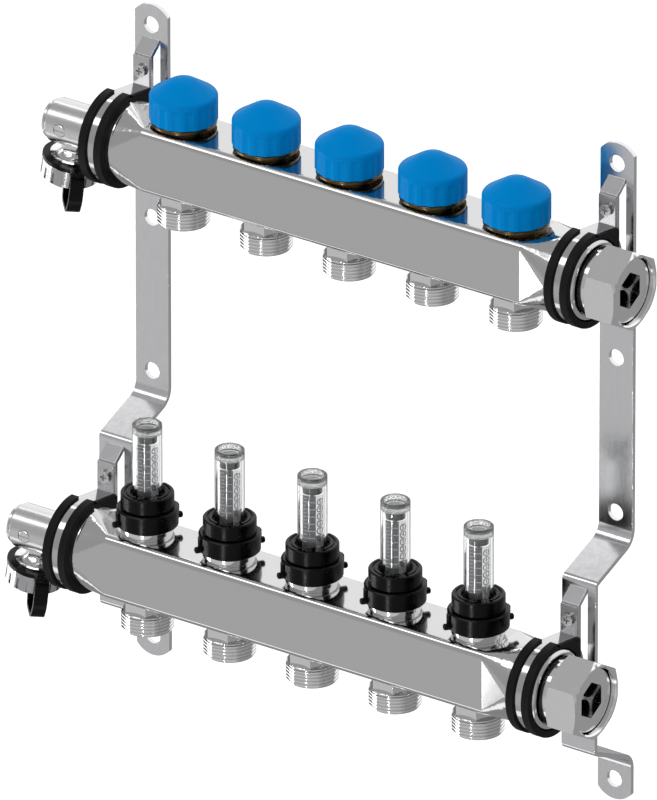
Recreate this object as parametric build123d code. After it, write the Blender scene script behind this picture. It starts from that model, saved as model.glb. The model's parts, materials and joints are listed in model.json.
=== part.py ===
from build123d import *
from math import acos, atan, cos, degrees, pi, radians, sin, tan
import os

# A wall-mounted heating manifold set for underfloor circuits: a return bar with one shut-off
# insert and hand cap for each circuit, a supply bar with one flow meter for each circuit, two
# bent wall brackets with rubber-lined clamps, end pieces with drain spouts on the left, and
# union nuts on the right. X runs along the bars, +Y into the wall, +Z up. The origin is on
# the wall, midway between the four outer screw holes.

# Layout
circuit_count = 5
circuit_pitch = 50
bar_spacing = 210
bar_step = 31.5
return_height = 117.3

# Bars
tube_radius = 21
bar_side = 34.7
bar_corner = 4
bar_wall = 1.5
bar_end_margin = 14
taper_length = 16.4
clamp_seat_length = 17.35
clamp_end_margin = 7.75
shoulder_radius = 3
insert_hole_radius = 12
outlet_hole_radius = 9.5
end_hole_radius = 12.1

# Brackets
strap_width = 20
strap_thickness = 2.5
outer_hole_spacing = 335
inner_hole_heights = (62.5, -21.5)
wall_hole_radius = 4.4
strap_end_margin = 11
strap_end_radius = 12.5
step_top_height = 45
step_bottom_height = -45.5
slope_drop = 12
return_drop = 14.5
wall_bend_radius = 10.5
step_bend_radius = 1

# Tongue lanced out of the strap behind each clamp
tongue_width = 10
tongue_lift = 7.5
tongue_root = 43
tongue_slope_drop = 6
window_gap = 0.4
saddle_gap = 3
saddle_end_angle = -38

# Clamp band, lining and screw
band_width = 9.8
band_thickness = 1.1
lining_width = 13.7
lining_base = 1.2
rib_width = 4.4
rib_radius = 24.6
rib_end_angle = 88
band_leave_angle = 82
band_tail_top = 36.3
hook_angle = -43
hook_tip_angle = -26
lining_clearance = 0.05
clamp_screw_height = 28.75
clamp_screw_radius = 1.9
clamp_screw_length = 9.5
clamp_head_radius = 3.25
clamp_head_height = 1.9

# Outlets below both bars
outlet_hex_across_flats = 21
outlet_hex_length = 7.15
outlet_thread_radius = 13.22
outlet_thread_length = 10.5
outlet_bore_radius = 7.5
outlet_cone_radius = 10.5
outlet_rim_height = 1
weld_clearance = 0.1

# Shut-off inserts and hand caps
insert_flange_radius = 16.6
insert_flange_bottom = 19.1
insert_flange_top = 20.9
insert_neck_radius = 13.6
insert_thread_radius = 15
insert_thread_top = 29.5
gland_radius = 8
gland_top = 31.5
insert_body_radius = 9
insert_body_bottom = -2
pin_radius = 1.8
pin_clearance = 0.08
pin_top = 34
valve_disc_radius = 8.8
valve_disc_thickness = 2
seat_gap = 0.1
cap_radius = 17.1
cap_bottom = 21.2
cap_side_top = 33.3
cap_shoulder_radius = 2.5
cap_cone_slope = 0.639
cap_nose_start_radius = 7.1
cap_wall = 1.8
cap_post_radius = 3.5
flute_count = 16
flute_radius = 9
flute_depth = 0.45
flute_top = 31.5
turning_clearance = 0.3

# Flow meters
meter_base_radius = 13.6
meter_base_bottom = 19.2
meter_base_top = 22
meter_seat_radius = 12.6
meter_neck_radius = 9
meter_neck_top = 34
cage_radius = 8.6
cage_wall = 1.4
cage_window_width = 7
cage_window_height = 14
ring_radius = 15.5
ring_bottom = 22.2
ring_top = 31.7
peg_length = 3
peg_radius = 1.7
peg_height = 24
peg_angles = (-124, 56)
grip_rib_width = 3
grip_rib_top = 30.5
grip_rib_depth = 0.8
ring_skirt_height = 4
dial_radius = 13.4
dial_bottom = 31.9
dial_seat_top = 37.2
dial_top = 39.8
notch_direction = 125
notch_span = 78
front_recess_span = 70
front_recess_radius = 12.2
front_recess_depth = 0.9
lug_inner_radius = 8.6
lug_groove_radius = 11
lug_groove_width = 0.9
glass_radius = 7.5
glass_foot_radius = 8.8
glass_foot_height = 1.8
glass_top = 76.7
glass_wall = 1.4
glass_recess = 2.7
glass_end_thickness = 1.6
indicator_radius = 5
indicator_height = 4
indicator_top = 71.4
indicator_rod_radius = 0.9
rod_bore_radius = 1.3
plate_radius = 5.4
plate_height = -4
plate_thickness = 1.2

# Union nuts and tails on the right
nut_gap = 1.25
nut_across_flats = 37
nut_collar_radius = 18.4
nut_collar_length = 4
nut_length = 21.7
nut_lip = 3
nut_bore_radius = 17
nut_chamfer = 1.6
nut_face_radius = 18.7
nut_mouth_bevel = 0.8
tail_neck_radius = 12
tail_insertion = 5
tail_flange_radius = 16.5
tail_flange_thickness = 4
tail_recess = 3
tail_bore_radius = 8
socket_across_flats = 17
socket_depth = 12
nut_clearance = 0.4

# End pieces on the left
end_flange_radius = 14.2
end_flange_length = 2.3
end_body_radius = 11.4
end_body_length = 26.8
end_groove_radius = 9.3
end_groove_width = 1
end_rim_radius = 10
end_rim_length = 2
end_bore_radius = 7
end_bore_depth = 25

# Drain spouts, their caps and straps
drain_offset = 16.75
drain_tilt = 10
spout_spigot_radius = 4.9
spout_hex_across_flats = 11
spout_bore_radius = 4
dish_radius = 11.3
dish_height = 16.6
dish_rim = 0.8
dish_lip = 0.3
dish_depth = 2.6
dish_floor = 0.5
spout_stem_start = 8
spout_spigot_start = 7.5
spout_bore_start = 5
spout_thread_radius = 10.48
spout_gap = 1
strap_eye_radius = 15
strap_eye_gap = 0.7
cap_strap_thickness = 1.8
cap_strap_width = 7
drain_cap_radius = 14.5
drain_cap_gap = 0.1
drain_cap_length = 10.8
drain_cap_floor = 2.5
drain_cap_chamfer = 2.2
drain_slot_count = 16
drain_slot_width = 1.5
drain_slot_depth = 1
drain_slot_length = 6
rivet_radius = 2.2
rivet_head_radius = 3.3
rivet_head_height = 0.9
rivet_neck_gap = 0.7
strap_loop_side = 21.5
strap_loop_bulge = 24.5
strap_loop_drop = 8.7
strap_loop_inner = 8
strap_loop_tip = 5
strap_root_bend = 4
strap_side_bend = 10
strap_turn_bend = 5
strap_tip_bend = 2
strap_direction = -46

# Vent screws in the end pieces
vent_offset = 19.8
vent_radius = 2.4
vent_clearance = 0.08
vent_head_radius = 3.2
vent_head_height = 1.2
vent_slot_width = 0.9

# Places that follow from the sizes above
square_half = (circuit_count - 1) / 2 * circuit_pitch + bar_end_margin
round_half = square_half + taper_length
bar_half = round_half + clamp_seat_length
bracket_x = bar_half - clamp_end_margin
half_side = bar_side / 2
return_depth = strap_thickness + tongue_lift + tube_radius
return_place = Vector(0, -return_depth, return_height)
supply_place = Vector(0, -return_depth - bar_step, return_height - bar_spacing)
circuit_places = [(i - (circuit_count - 1) / 2) * circuit_pitch for i in range(circuit_count)]
saddle_radius = tube_radius + saddle_gap
saddle_top_angle = degrees(acos(tube_radius / saddle_radius))
band_inner = tube_radius + lining_base
lining_inner = tube_radius + lining_clearance
seat_top = -half_side + bar_wall + outlet_rim_height
dish_top = dish_height + dish_rim - dish_lip
strap_eye_start = dish_height + strap_eye_gap
drain_cap_start = strap_eye_start + cap_strap_thickness + drain_cap_gap
drain_cap_end = drain_cap_start + drain_cap_length
spout_end = drain_cap_end - drain_cap_floor - spout_gap
strap_loop_bottom = drain_cap_end + strap_loop_drop


def face_from(lines):
    return make_face(lines.edges())


def turned(*profile):
    return revolve(Plane.XZ * face_from(Polyline(*profile, close=True)), Axis.Z)


def ring_wall(outer, inner, low, high):
    return turned((inner, low), (outer, low), (outer, high), (inner, high))


def rod(radius, low, high):
    return Pos(Z=(low + high) / 2) * Cylinder(radius, high - low)


def hexagon(across_flats, low, high, turn=30):
    outline = RegularPolygon(across_flats / 2, 6, major_radius=False, rotation=turn)
    return extrude(Plane.XY.offset(low) * outline, high - low)


def polar(radius, angle):
    return (radius * cos(radians(angle)), radius * sin(radians(angle)))


def strip(path, thickness, width, side=Side.LEFT):
    # A strip of sheet whose one face follows a path drawn in the (y, z) plane
    outline = path.wires()[0].offset_2d(thickness, side=side, closed=True)
    return extrude(Plane.YZ * face_from(outline), width / 2, both=True)


def arc_about_axis(radius, start, end):
    return CenterArc((0, 0), radius, start, end - start)


def bar_body(side, corner, radius, ends_at, shoulder):
    square = RectangleRounded(side, side, corner)
    nearly_round = RectangleRounded(2 * radius, 2 * radius, radius - 0.05)
    body = extrude(Plane.YZ * square, square_half, both=True)
    for way in (1, -1):
        taper = loft([
            (Plane.YZ.offset(way * square_half) * square).faces()[0],
            (Plane.YZ.offset(way * round_half) * nearly_round).faces()[0],
        ], ruled=True)
        seat = extrude(Plane.YZ.offset(way * round_half) * nearly_round, way * (ends_at - round_half))
        end_face = seat.faces().sort_by(Axis.X)[-1 if way > 0 else 0]
        body = body + taper + fillet(end_face.edges(), shoulder)
    return body


def make_bar():
    inner_side = bar_side - 2 * bar_wall
    bar = bar_body(bar_side, bar_corner, tube_radius, bar_half, shoulder_radius)
    bar -= bar_body(inner_side, bar_corner - bar_wall, tube_radius - bar_wall,
                    bar_half - bar_wall, shoulder_radius - bar_wall)
    bar -= Rot(Y=90) * Cylinder(end_hole_radius, 2 * bar_half + 2)
    for x in circuit_places:
        bar -= Pos(x, 0, half_side) * Cylinder(insert_hole_radius, 4 * bar_wall)
        bar -= Pos(x, 0, -half_side) * Cylinder(outlet_hole_radius, 4 * bar_wall)
    return bar


def make_outlet():
    # A welded nipple: spigot through the bar's floor, hexagon neck, thread and cone seat
    neck_bottom = -half_side - outlet_hex_length
    bottom = neck_bottom - outlet_thread_length
    spigot = Pos(Z=(seat_top - half_side) / 2) * Cylinder(
        outlet_hole_radius - weld_clearance, seat_top + half_side)
    thread = turned(
        (0, neck_bottom), (outlet_thread_radius - 1.2, neck_bottom),
        (outlet_thread_radius, neck_bottom - 1.2), (outlet_thread_radius, bottom + 1.2),
        (outlet_thread_radius - 1.2, bottom), (0, bottom))
    bore = turned(
        (0, seat_top + 1), (outlet_bore_radius, seat_top + 1),
        (outlet_bore_radius, bottom + outlet_cone_radius - outlet_bore_radius),
        (outlet_cone_radius + 1, bottom - 1), (0, bottom - 1))
    return spigot + hexagon(outlet_hex_across_flats, neck_bottom, -half_side) + thread - bore


def make_valve_insert():
    bore = pin_radius + pin_clearance
    stem = insert_hole_radius - weld_clearance
    return turned(
        (bore, insert_body_bottom), (insert_body_radius, insert_body_bottom),
        (insert_body_radius, half_side - 8), (stem, half_side - 7), (stem, half_side),
        (insert_neck_radius, half_side), (insert_neck_radius, insert_flange_bottom),
        (insert_flange_radius, insert_flange_bottom),
        (insert_flange_radius, insert_flange_top - 0.5),
        (insert_flange_radius - 0.5, insert_flange_top), (insert_thread_radius, insert_flange_top),
        (insert_thread_radius, insert_thread_top - 1), (insert_thread_radius - 1, insert_thread_top),
        (gland_radius, insert_thread_top), (gland_radius, gland_top), (bore, gland_top))


def make_valve_pin():
    disc_bottom = seat_top + seat_gap
    disc_top = disc_bottom + valve_disc_thickness
    return turned(
        (0, disc_bottom), (valve_disc_radius, disc_bottom), (valve_disc_radius, disc_top),
        (pin_radius, disc_top + 1), (pin_radius, pin_top - 0.6), (pin_radius - 0.6, pin_top),
        (0, pin_top))


def cap_outline(radius, side_top, shoulder, nose_start, bottom):
    # Half of the cap's section: side, rounded shoulder, cone and rounded nose
    cone_angle = atan(cap_cone_slope)
    tangent = shoulder * tan((pi / 2 - cone_angle) / 2)
    corner = (radius, side_top + tangent)
    cone_start = (radius - tangent * cos(cone_angle), corner[1] + tangent * sin(cone_angle))
    nose_height = corner[1] + cap_cone_slope * (radius - nose_start)
    nose_radius = nose_start / sin(cone_angle)
    nose_top = nose_height + nose_radius * (1 - cos(cone_angle))
    side = Line((radius, bottom), (radius, side_top))
    round_shoulder = RadiusArc((radius, side_top), cone_start, -shoulder)
    cone = Line(cone_start, (nose_start, nose_height))
    nose = RadiusArc((nose_start, nose_height), (0, nose_top), -nose_radius)
    close = Polyline((0, nose_top), (0, bottom), (radius, bottom))
    outline = make_face(
        side.edges() + round_shoulder.edges() + cone.edges() + nose.edges() + close.edges())
    return revolve(Plane.XZ * outline, Axis.Z)


def make_hand_cap():
    sleeve_bore = insert_thread_radius + turning_clearance
    shell = cap_outline(cap_radius, cap_side_top, cap_shoulder_radius, cap_nose_start_radius,
                        cap_bottom)
    hollow = cap_outline(sleeve_bore, cap_side_top - cap_wall, 1, cap_nose_start_radius,
                         cap_bottom - 1)
    flute = Pos(cap_radius + flute_radius - flute_depth, 0, (cap_bottom - 1 + flute_top) / 2) * \
        Cylinder(flute_radius, flute_top - cap_bottom + 1)
    shell -= [Rot(Z=360 * i / flute_count) * flute for i in range(flute_count)]
    post_top = cap_side_top + 6
    post = Pos(Z=(pin_top + post_top) / 2) * Cylinder(cap_post_radius, post_top - pin_top)
    return shell - hollow + post


def make_flow_insert():
    stem = insert_hole_radius - weld_clearance
    body = turned(
        (rod_bore_radius, 8), (cage_radius, 8), (stem, 9), (stem, half_side),
        (meter_seat_radius, half_side), (meter_seat_radius, meter_base_bottom),
        (meter_base_radius, meter_base_bottom), (meter_base_radius, meter_base_top - 0.8),
        (meter_base_radius - 0.8, meter_base_top), (meter_neck_radius, meter_base_top),
        (meter_neck_radius, meter_neck_top), (rod_bore_radius, meter_neck_top))
    cage = ring_wall(cage_radius, cage_radius - cage_wall, seat_top, 8)
    window = Pos(Z=seat_top + 4 + cage_window_height / 2) * Box(
        4 * cage_radius, cage_window_width, cage_window_height)
    return body + (cage - window - Rot(Z=90) * window)


def make_lock_ring():
    bore = meter_neck_radius + turning_clearance
    skirt_bore = meter_base_radius + turning_clearance
    skirt_top = ring_bottom + ring_skirt_height
    ring = turned(
        (bore, skirt_top), (skirt_bore, skirt_top), (skirt_bore, ring_bottom),
        (ring_radius - 0.4, ring_bottom), (ring_radius, ring_bottom + 0.4),
        (ring_radius, ring_top - 0.8), (ring_radius - 0.8, ring_top), (bore, ring_top))
    peg = Pos(ring_radius - 1, 0, peg_height) * Rot(Y=90) * Pos(Z=(peg_length + 1) / 2) * \
        Cylinder(peg_radius, peg_length + 1)
    peg = fillet(peg.faces().sort_by(Axis.X)[-1].edges(), peg_radius * 0.6)
    grip_length = grip_rib_top - peg_height
    peg += Pos(ring_radius + grip_rib_depth - 1, 0, peg_height + grip_length / 2) * Box(
        2, grip_rib_width, grip_length)
    return ring + [Rot(Z=a) * peg for a in peg_angles]


def wedge(direction, span, low, high):
    # A prism that fills one angle about the z axis, wide enough for the flow dial
    reach = 4 * dial_radius
    edge = tan(radians(span / 2)) * reach
    outline = Polygon((0, 0), (reach, -edge), (reach, edge), align=None)
    return Rot(Z=direction) * extrude(Plane.XY.offset(low) * outline, high - low)


def make_flow_dial():
    neck_bore = meter_neck_radius + turning_clearance
    lip_bottom = meter_neck_top + glass_foot_height + turning_clearance
    lip_bore = glass_radius + turning_clearance
    dial = turned(
        (neck_bore, dial_bottom), (dial_radius, dial_bottom), (dial_radius, dial_seat_top),
        (lip_bore, dial_seat_top), (lip_bore, lip_bottom), (neck_bore, lip_bottom))
    lug = turned(
        (lug_inner_radius, dial_seat_top), (dial_radius, dial_seat_top),
        (dial_radius, dial_top - 0.6), (dial_radius - 0.6, dial_top),
        (lug_inner_radius + 0.6, dial_top), (lug_inner_radius, dial_top - 0.6))
    lug -= ring_wall(lug_groove_radius + lug_groove_width / 2,
                     lug_groove_radius - lug_groove_width / 2, dial_top - 0.8, dial_top + 1)
    lug -= wedge(notch_direction, notch_span, dial_seat_top, dial_top + 1)
    recess = ring_wall(front_recess_radius, lip_bore, dial_top - front_recess_depth, dial_top + 1)
    lug -= recess & wedge(notch_direction + 180, front_recess_span, dial_seat_top, dial_top + 1)
    return dial + lug


def make_sight_glass():
    bore = glass_radius - glass_wall
    return turned(
        (bore, meter_neck_top), (glass_foot_radius, meter_neck_top),
        (glass_foot_radius, meter_neck_top + glass_foot_height),
        (glass_radius, meter_neck_top + glass_foot_height), (glass_radius, glass_top - 0.4),
        (glass_radius - 0.4, glass_top), (bore, glass_top), (bore - 0.3, glass_top - glass_recess),
        (0, glass_top - glass_recess), (0, glass_top - glass_recess - glass_end_thickness),
        (bore, glass_top - glass_recess - glass_end_thickness))


def make_flow_indicator():
    disc_bottom = indicator_top - indicator_height
    return turned(
        (0, plate_height - plate_thickness), (plate_radius, plate_height - plate_thickness),
        (plate_radius, plate_height), (indicator_rod_radius, plate_height),
        (indicator_rod_radius, disc_bottom), (indicator_radius, disc_bottom),
        (indicator_radius, indicator_top), (0, indicator_top))


def bracket_profile():
    # The strap's wall-side face as seen from the side, from its top end to its bottom end
    top = outer_hole_spacing / 2 + strap_end_margin
    upper_bend = supply_place.Z + step_top_height + slope_drop
    front_top = supply_place.Z + step_top_height
    front_bottom = supply_place.Z + step_bottom_height
    return FilletPolyline(
        (0, top), (0, upper_bend), (-bar_step, front_top), (-bar_step, front_bottom),
        (0, front_bottom - return_drop), (0, -top),
        radius=[wall_bend_radius, step_bend_radius, step_bend_radius, wall_bend_radius])


def make_tongue():
    # Drawn about the bar's axis; the strap's front face lies one lift behind the tube's back
    strap_front = tube_radius + tongue_lift
    slope_end = tongue_root - tongue_slope_drop
    start = polar(saddle_radius, saddle_top_angle)
    front = Polyline((strap_front, tongue_root + 1), (strap_front, tongue_root),
                     (tube_radius, slope_end), start)
    saddle = arc_about_axis(saddle_radius, saddle_top_angle, saddle_end_angle)
    path = Wire(front.edges() + saddle.edges())
    return strip(path, strap_thickness, tongue_width, Side.LEFT)


def strap_at(place):
    return Pos(0, place.Y, place.Z)


def make_bracket():
    strap = strip(bracket_profile(), strap_thickness, strap_width, Side.RIGHT)
    outline = SlotOverall(outer_hole_spacing + 2 * strap_end_margin, 2 * strap_end_radius)
    ends = extrude(Plane.XZ * Rot(Z=90) * outline, 2 * bar_spacing, both=True)
    strap = strap & ends
    for height in (outer_hole_spacing / 2, *inner_hole_heights, -outer_hole_spacing / 2):
        strap -= Pos(Z=height) * Rot(X=90) * Cylinder(wall_hole_radius, 4 * strap_thickness)
    saddle_length = 2 * pi * saddle_radius * (saddle_top_angle - saddle_end_angle) / 360
    window_height = tongue_root + saddle_length - 6
    for place in (return_place, supply_place):
        window_top = place.Z + tongue_root
        middle = place.Y + tube_radius + tongue_lift
        strap -= Pos(0, middle, window_top - window_height / 2) * Box(
            tongue_width + 2 * window_gap, 3 * strap_thickness, window_height)
        screw_hole = Pos(0, middle, place.Z + clamp_screw_height) * Rot(X=90) * Cylinder(
            clamp_screw_radius + lining_clearance, 4 * tongue_lift)
        strap += strap_at(place) * make_tongue() - screw_hole
    return strap


def band_path():
    leave = polar(band_inner, band_leave_angle)
    run = tube_radius - leave[0]
    corner_height = leave[1] - run / tan(radians(band_leave_angle))
    hook_radius = saddle_radius + strap_thickness + lining_clearance
    hook = arc_about_axis(hook_radius, hook_tip_angle, hook_angle)
    link = Line(polar(hook_radius, hook_angle), polar(band_inner, hook_angle))
    round_tube = arc_about_axis(band_inner, hook_angle, band_leave_angle - 360)
    back = Polyline(leave, (tube_radius - lining_clearance, corner_height),
                    (tube_radius - lining_clearance, band_tail_top))
    return Wire(hook.edges() + link.edges() + round_tube.edges() + back.edges()), corner_height


def clamp_screw_cut(radius):
    front = tube_radius - band_thickness
    return Pos(0, front, clamp_screw_height) * Rot(X=90) * Cylinder(radius, 2 * clamp_screw_length)


def make_clamp_band():
    path, corner_height = band_path()
    return strip(path, band_thickness, band_width) - clamp_screw_cut(
        clamp_screw_radius + lining_clearance)


def make_clamp_lining():
    # A rubber channel round the tube: base, two ribs over the band's edges, and a pad in the
    # tongue's saddle
    def sector(outer, inner, start, end, width, offset=0):
        outline = face_from(Wire(
            arc_about_axis(outer, start, end).edges()
            + Line(polar(outer, end), polar(inner, end)).edges()
            + arc_about_axis(inner, end, start).edges()
            + Line(polar(inner, start), polar(outer, start)).edges()))
        return Pos(offset, 0, 0) * extrude(Plane.YZ * outline, width / 2, both=True)

    clear_base = band_inner - lining_clearance
    seam_angle = saddle_top_angle - 4
    base = sector(clear_base, lining_inner, band_leave_angle, 360 + seam_angle, lining_width)
    rib_place = (lining_width - rib_width) / 2
    rib_end = 360 + hook_angle - 4
    groove = sector(band_inner + band_thickness + lining_clearance, clear_base, rib_end_angle - 2,
                    rib_end + 2, band_width + 2 * lining_clearance)
    lining = base
    for way in (1, -1):
        lining += sector(rib_radius, lining_inner, rib_end_angle, rib_end, rib_width,
                         way * rib_place) - groove
    pad = sector(saddle_radius - lining_clearance, lining_inner, 360 + hook_angle + 6,
                 360 + seam_angle, band_width)

    # Behind the ribs the rubber fills the wedge under the band's run back to the tongue. It
    # stops at the band's left edge, and on the nut side a lip as high as the band covers the
    # band's other edge
    fall = 1 / tan(radians(band_leave_angle))
    high = polar(clear_base, band_leave_angle)
    wedge_back = tube_radius - 2 * lining_clearance
    wedge_top = (wedge_back, high[1] - (wedge_back - high[0]) * fall)
    wedge_foot = (wedge_back, wedge_back * tan(radians(seam_angle)))
    wedge = face_from(Wire(
        Polyline(polar(lining_inner, band_leave_angle), high, wedge_top, wedge_foot,
                 polar(lining_inner, seam_angle)).edges()
        + arc_about_axis(lining_inner, seam_angle, band_leave_angle).edges()))
    overhang = (lining_width - band_width) / 2
    wedge = Pos(overhang / 2, 0, 0) * extrude(
        Plane.YZ * wedge, (lining_width - overhang) / 2, both=True)

    def slab(end, rise, width, offset=0):
        foot = (end, high[1] - (end - high[0]) * fall)
        outline = Polygon(high, foot, (foot[0], foot[1] + rise), (high[0], high[1] + rise),
                          align=None)
        return Pos(offset, 0, 0) * extrude(Plane.YZ * outline, width / 2, both=True)

    lip_end = tube_radius - band_thickness - 4 * lining_clearance
    lip = slab(lip_end, band_thickness, rib_width, rib_place)
    band_room = slab(wedge_back, band_thickness + 3 * lining_clearance,
                     band_width + 2 * lining_clearance)
    return lining + pad + wedge + (lip - band_room)


def make_clamp_screw():
    # Countersunk cross-head screw, drawn with its head's face at z = 0 and its shank below
    screw = turned(
        (0, 0), (clamp_head_radius, 0), (clamp_head_radius, -0.4),
        (clamp_screw_radius, -clamp_head_height), (clamp_screw_radius, -clamp_screw_length + 1),
        (clamp_screw_radius - 0.9, -clamp_screw_length), (0, -clamp_screw_length))
    cross = Box(3.6, 0.8, 2.4) + Box(0.8, 3.6, 2.4)
    screw -= cross
    head_front = tube_radius - band_thickness - clamp_head_height
    return Pos(0, head_front, clamp_screw_height) * Rot(X=90) * screw


def make_union_nut():
    # Drawn along z from the back of the collar to the open mouth
    corner = nut_across_flats / 2 / cos(radians(30))
    limit = turned(
        (0, 0), (nut_collar_radius, 0), (nut_collar_radius, nut_collar_length),
        (nut_face_radius, nut_collar_length), (corner + 0.1, nut_collar_length + nut_chamfer),
        (corner + 0.1, nut_length - nut_chamfer), (nut_face_radius, nut_length), (0, nut_length))
    collar = Pos(Z=nut_collar_length / 2) * Cylinder(nut_collar_radius - 0.2, nut_collar_length)
    body = (hexagon(nut_across_flats, nut_collar_length, nut_length, 0) & limit) + collar
    return body - turned(
        (0, -1), (tail_neck_radius + nut_clearance, -1), (tail_neck_radius + nut_clearance, nut_lip),
        (nut_bore_radius, nut_lip), (nut_bore_radius, nut_length - nut_mouth_bevel),
        (nut_bore_radius + nut_mouth_bevel + 1, nut_length + 1), (0, nut_length + 1))


def make_union_tail():
    front = nut_length - tail_recess
    back = -nut_gap - tail_insertion
    tail = turned(
        (tail_bore_radius, back), (tail_neck_radius, back),
        (tail_neck_radius, front - tail_flange_thickness - 1),
        (tail_flange_radius, front - tail_flange_thickness), (tail_flange_radius, front - 0.4),
        (tail_flange_radius - 0.4, front), (tail_bore_radius, front))
    return tail - hexagon(socket_across_flats, front - socket_depth, front + 1, 0)


def make_end_piece():
    # Drawn along z from the bar's end outwards, then turned to point along -X
    body_end = end_flange_length + end_body_length
    rim_start = body_end + end_groove_width
    rim_end = rim_start + end_rim_length
    piece = turned(
        (0, -tail_insertion), (tail_neck_radius, -tail_insertion), (tail_neck_radius, 0),
        (end_flange_radius, 0), (end_flange_radius, end_flange_length - 0.4),
        (end_flange_radius - 0.4, end_flange_length), (end_body_radius, end_flange_length),
        (end_body_radius, body_end - 0.6), (end_body_radius - 0.6, body_end),
        (end_groove_radius, body_end), (end_groove_radius, rim_start), (end_rim_radius, rim_start),
        (end_rim_radius, rim_end - 0.8), (end_rim_radius - 0.8, rim_end), (0, rim_end))
    piece -= Pos(Z=(end_bore_depth - tail_insertion - 1) / 2) * Cylinder(
        end_bore_radius, end_bore_depth + tail_insertion + 1)
    piece = Pos(X=-bar_half) * Rot(Y=-90) * piece
    piece -= drain_frame() * Pos(Z=end_body_radius) * Cylinder(
        spout_spigot_radius + lining_clearance, end_body_radius)
    seat = end_body_radius - vent_head_height
    piece -= vent_frame() * Pos(Z=seat + 5) * Cylinder(vent_head_radius + turning_clearance, 10)
    return piece - vent_frame() * Pos(Z=end_body_radius) * Cylinder(
        vent_radius + vent_clearance, end_body_radius)


def drain_frame():
    # Its z axis runs down the spout, and its x axis points to where the cap's strap hangs
    tilt = radians(drain_tilt)
    down = Vector(-sin(tilt), 0, -cos(tilt))
    side = Vector(cos(radians(strap_direction)), sin(radians(strap_direction)), 0)
    origin = Vector(-bar_half - drain_offset, 0, 0)
    return Plane(origin=origin, x_dir=side - down * side.dot(down), z_dir=down).location


def vent_frame():
    # Its z axis points forwards, away from the wall
    return Plane(origin=(-bar_half - vent_offset, 0, 0), x_dir=(1, 0, 0), z_dir=(0, -1, 0)).location


def make_drain_spout():
    hex_top = dish_height - dish_depth
    stem = hexagon(spout_hex_across_flats, spout_stem_start, hex_top, 0)
    foot = (spout_hex_across_flats / 2, hex_top - dish_floor)
    edge = (dish_radius, dish_height - dish_lip)
    bend = (foot[0] + (edge[0] - foot[0]) * 0.41, foot[1] + (edge[1] - foot[1]) * 0.71)
    dish = face_from(Wire(
        Polyline((0, foot[1]), foot).edges()
        + ThreePointArc(foot, bend, edge).edges()
        + Polyline(edge, (dish_radius, dish_top), (0, dish_top), (0, foot[1])).edges()))
    dish = revolve(Plane.XZ * dish, Axis.Z)
    thread = turned(
        (0, dish_height), (spout_thread_radius, dish_height),
        (spout_thread_radius, spout_end - 0.8), (spout_thread_radius - 0.8, spout_end),
        (0, spout_end))
    body = drain_frame() * (stem + dish + thread)
    body -= Pos(X=-bar_half - drain_offset) * Rot(Y=90) * Cylinder(
        end_body_radius + lining_clearance, 4 * end_body_radius)
    body += drain_frame() * rod(spout_spigot_radius, spout_spigot_start, foot[1])
    return body - drain_frame() * rod(spout_bore_radius, spout_bore_start, spout_end + 1)


def make_drain_cap():
    bore = spout_thread_radius + turning_clearance
    floor = drain_cap_end - drain_cap_floor
    rivet_start = drain_cap_end + cap_strap_thickness + rivet_neck_gap
    cap = turned(
        (bore, drain_cap_start), (drain_cap_radius - 0.5, drain_cap_start),
        (drain_cap_radius, drain_cap_start + 0.5), (drain_cap_radius, drain_cap_end - 1.6),
        (drain_cap_radius - drain_cap_chamfer, drain_cap_end), (rivet_radius, drain_cap_end),
        (rivet_radius, rivet_start), (rivet_head_radius, rivet_start),
        (rivet_head_radius, rivet_start + rivet_head_height),
        (0, rivet_start + rivet_head_height), (0, floor), (bore, floor))
    slot = Pos(drain_cap_radius, 0, drain_cap_end - drain_slot_length / 2 - 1.6) * Box(
        2 * drain_slot_depth, drain_slot_width, drain_slot_length)
    cap -= [Rot(Z=360 * i / drain_slot_count) * slot for i in range(drain_slot_count)]
    return drain_frame() * cap


def make_cap_strap():
    bore = spout_thread_radius + turning_clearance
    start = strap_eye_start
    end = drain_cap_end + turning_clearance
    eye = ring_wall(strap_eye_radius, bore, start, start + cap_strap_thickness)
    small_eye = ring_wall(rivet_head_radius + 1.4, rivet_radius + turning_clearance, end,
                          end + cap_strap_thickness)
    loop = FilletPolyline(
        (bore + 1.6, start), (strap_loop_side, start), (strap_loop_bulge, drain_cap_end),
        (strap_loop_side, strap_loop_bottom), (strap_loop_inner, strap_loop_bottom),
        (strap_loop_tip, end + cap_strap_thickness), (rivet_radius + 1, end + cap_strap_thickness),
        radius=[strap_root_bend, strap_side_bend, strap_turn_bend, strap_turn_bend,
                strap_tip_bend])
    outline = loop.wires()[0].offset_2d(cap_strap_thickness, side=Side.LEFT, closed=True)
    tongue = extrude(Plane.XZ * face_from(outline), cap_strap_width / 2, both=True)
    return drain_frame() * (eye + small_eye + tongue)


def make_vent_screw():
    seat = end_body_radius - vent_head_height
    bottom = end_bore_radius + 0.6
    screw = turned(
        (0, bottom), (vent_radius, bottom), (vent_radius, seat), (vent_head_radius, seat),
        (vent_head_radius, end_body_radius - 0.2), (vent_head_radius - 0.3, end_body_radius + 0.1),
        (0, end_body_radius + 0.1))
    screw -= Pos(Z=end_body_radius) * Box(4 * vent_head_radius, vent_slot_width, 1.2)
    return vent_frame() * screw


def at(place, shape):
    return Pos(place.X, place.Y, place.Z) * shape


def save(name, shape):
    export_step(shape, f"parts/{name}.step")


def save_group(name, shapes):
    save(name, Compound(children=[Compound(s.solids()) for s in shapes]))


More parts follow.
